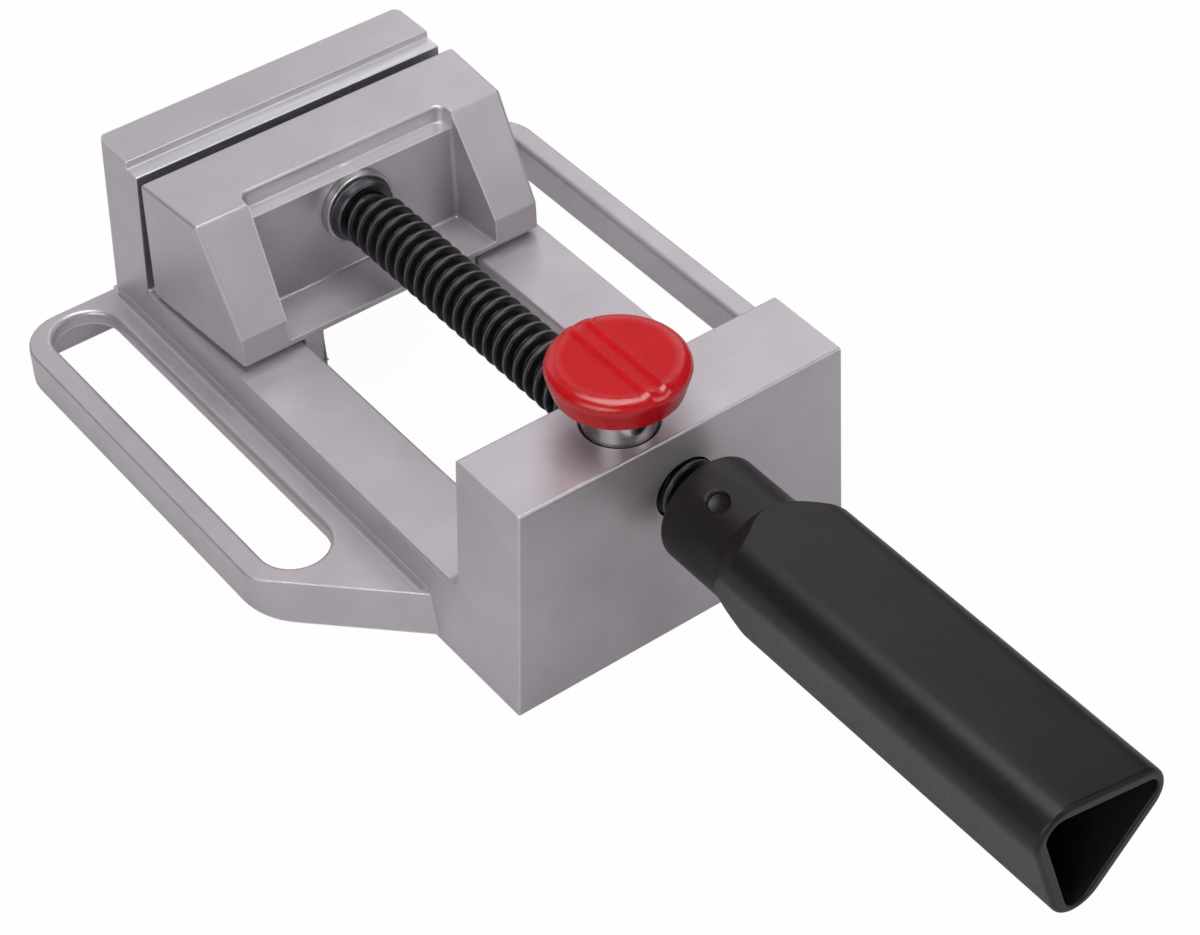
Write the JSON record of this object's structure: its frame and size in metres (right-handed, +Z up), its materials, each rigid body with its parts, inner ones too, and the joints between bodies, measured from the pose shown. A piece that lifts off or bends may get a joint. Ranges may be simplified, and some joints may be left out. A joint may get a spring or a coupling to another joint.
{
  "type": "machine vise",
  "caption": "Quick-release drill press vise: slotted aluminium base, sliding jaw on a lead screw, hollow three-sided handle and a sprung push button that lets go of the screw.",
  "frame": {"origin": "middle of the footprint, on the surface that the base stands on", "axes": "+Z up, +Y from the handle towards the fixed jaw, +X to the right of a person at the handle"},
  "size_m": [0.1716, 0.3434, 0.0877],
  "materials": {
    "cast_aluminium": "satin cast aluminium with machined edges",
    "bright_steel": "polished steel",
    "zinc_steel": "plain zinc-plated steel",
    "black_oxide": "black oxide steel, slightly oily",
    "black_plastic": "satin black moulding",
    "red_plastic": "glossy red moulding",
    "spring_steel": "drawn spring wire"
  },
  "bodies": {
    "base": {"base_casting": "cast_aluminium", "spring_plug": "zinc_steel", "release_spring": "spring_steel"},
    "jaw": {"movable_jaw": "cast_aluminium", "screw_bush": "zinc_steel", "thrust_pad": "zinc_steel", "retaining_pin_left": "zinc_steel", "retaining_pin_right": "zinc_steel", "keeper_left": "zinc_steel", "keeper_right": "zinc_steel", "keeper_screw_1": "zinc_steel", "keeper_screw_2": "zinc_steel", "keeper_screw_3": "zinc_steel", "keeper_screw_4": "zinc_steel"},
    "screw": {"lead_screw": "black_oxide", "handle": "black_plastic", "handle_pin": "black_oxide"},
    "release": {"release_plunger": "bright_steel", "release_collar": "bright_steel", "release_button": "red_plastic"}
  },
  "joints": [
    {"name": "jaw_slide", "type": "slide", "parent": "base", "child": "jaw", "axis": [0, -1, 0], "range_m": [-0.0044, 0.096]},
    {"name": "screw_turn", "type": "hinge", "parent": "jaw", "child": "screw", "pos_m": [0, -0.03455, 0.0482], "axis": [0, -1, 0], "range_deg": [-352.1, 7680.1]},
    {"name": "button_press", "type": "slide", "parent": "base", "child": "release", "axis": [0, 0, -1], "range_m": [0, 0.005], "stiffness_N_per_m": 1500, "springref_m": -0.004, "deforming": ["release_spring"]}
  ],
  "couplings": [
    {"joint": "screw_turn", "follows": "jaw_slide", "rad_per_m": 1396.3}
  ]
}
